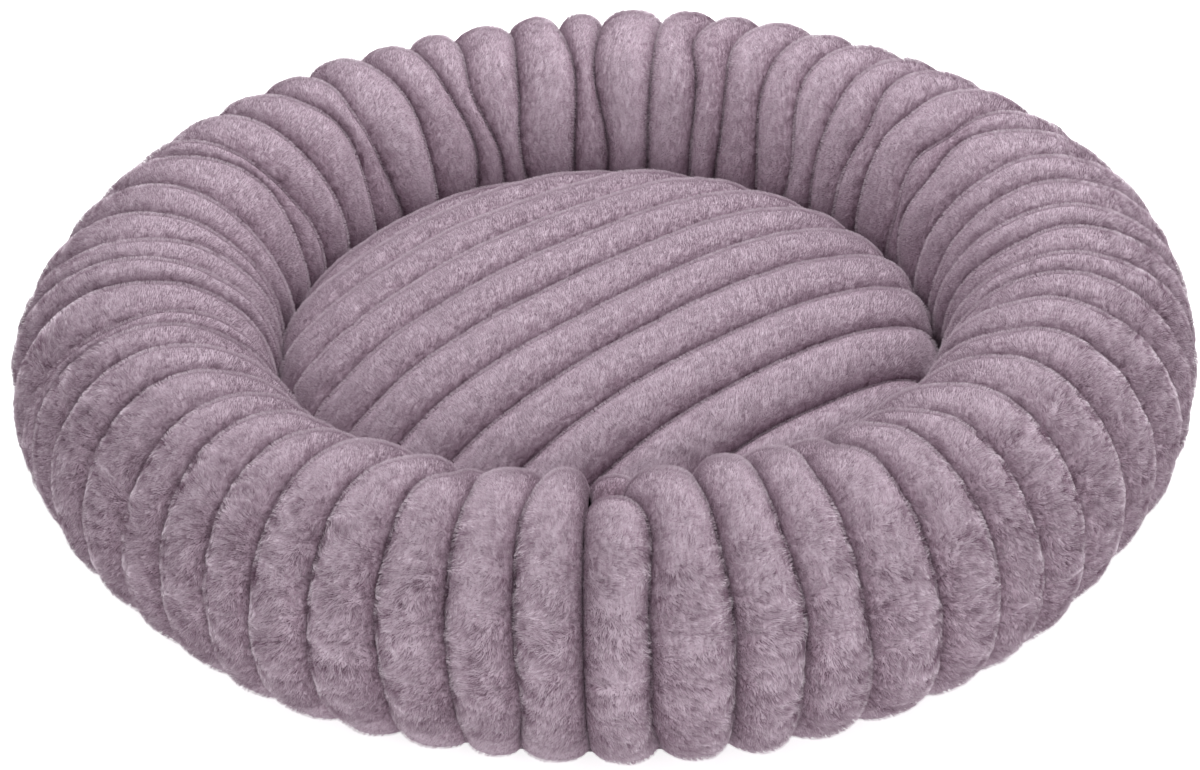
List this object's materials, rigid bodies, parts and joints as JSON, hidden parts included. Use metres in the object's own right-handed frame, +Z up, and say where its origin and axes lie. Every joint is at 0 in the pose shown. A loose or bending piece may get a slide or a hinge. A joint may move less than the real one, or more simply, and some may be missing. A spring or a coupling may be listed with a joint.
{
  "type": "donut pet bed",
  "caption": "Round pet bed: a stuffed, ribbed plush ring on a flat grippy base, with a loose crowned cushion whose cover zips open underneath.",
  "frame": {"origin": "on the floor under the middle of the bed", "axes": "+Z up, -Y towards the front of the bed as pictured, +X to its right"},
  "size_m": [0.599, 0.599, 0.13],
  "materials": {
    "plush": "matte",
    "grippy_cloth": "matte",
    "plain_cloth": "matte",
    "bag_cloth": "matte",
    "fibre": "matte",
    "zip_tape": "matte",
    "zip_coil": "satin",
    "zip_stop": "satin",
    "zip_slider": "satin"
  },
  "bodies": {
    "bed": {"base_panel": "grippy_cloth", "well_lining": "plain_cloth", "ring_cover_right": "plush", "ring_cover_left": "plush", "ring_filling": "fibre"},
    "cushion": {"cushion_top_panel": "plush", "cushion_sole_front": "plain_cloth", "cushion_sole_rear": "plain_cloth", "inner_bag_top": "bag_cloth", "inner_bag_bottom": "bag_cloth", "cushion_filling": "fibre", "zip_tape_front": "zip_tape", "zip_tape_rear": "zip_tape", "zip_coil_front": "zip_coil", "zip_coil_rear": "zip_coil", "zip_top_stop_front": "zip_stop", "zip_top_stop_rear": "zip_stop", "zip_end_stop": "zip_stop"},
    "zip_slider": {"zip_slider": "zip_slider"},
    "zip_pull": {"zip_pull": "zip_slider"}
  },
  "joints": [
    {"name": "cushion_lift", "type": "slide", "parent": "bed", "child": "cushion", "axis": [0, 0, 1], "range_m": [0, 0.16]},
    {"name": "zip_slide", "type": "slide", "parent": "cushion", "child": "zip_slider", "axis": [-0.766, -0.6428, 0], "range_m": [0, 0.22]},
    {"name": "pull_swing", "type": "hinge", "parent": "zip_slider", "child": "zip_pull", "pos_m": [0.0822, 0.06897, 0.00939], "axis": [-0.6428, 0.766, 0], "range_deg": [0, 15]}
  ]
}
